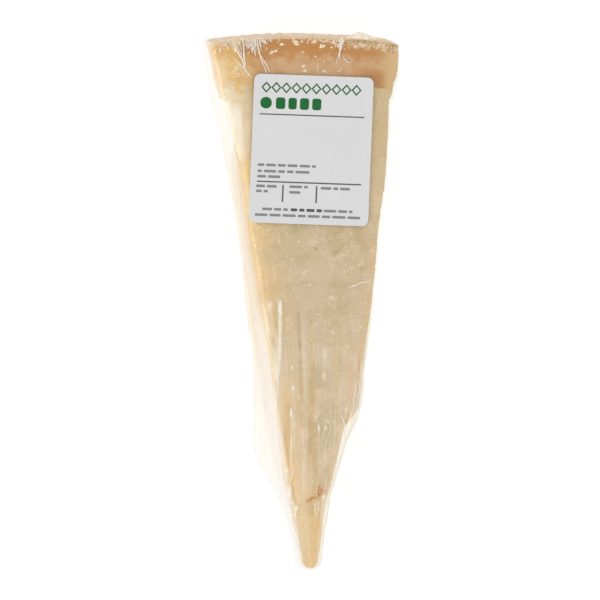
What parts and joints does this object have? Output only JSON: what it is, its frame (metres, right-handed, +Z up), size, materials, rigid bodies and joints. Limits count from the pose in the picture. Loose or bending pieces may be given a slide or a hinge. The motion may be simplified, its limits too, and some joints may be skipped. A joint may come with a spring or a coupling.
{
  "type": "parmesan chunk",
  "caption": "Narrow wedge of aged hard cheese with rind at its wide end, lying flat, wrapped tight in clear film with a white price label on top.",
  "frame": {"origin": "middle of the foot's bounding box, on the surface the chunk lies on", "axes": "+Z up through the label, +Y towards the rind, -Y towards the tip, +X across to the right seen from above with the rind away"},
  "size_m": [0.0722, 0.2, 0.0326],
  "materials": {
    "wrapped_cheese": "pale straw aged hard cheese, granular and slightly oily, with a tan rind, seen through tight clear cling film",
    "label_paper": "smooth white thermal label paper with plain green and grey printed bars",
    "cheese_paste": "pale straw aged hard cheese, granular and broken, slightly oily",
    "cheese_rind": "tan, rough, speckled natural rind",
    "film": "clear stretched cling film with fine creases and glossy folds",
    "label_print": "flat green and dark grey print, plain bars and rules"
  },
  "bodies": {
    "root": {"wrapped_chunk": "wrapped_cheese", "label": "label_paper"}
  },
  "joints": []
}
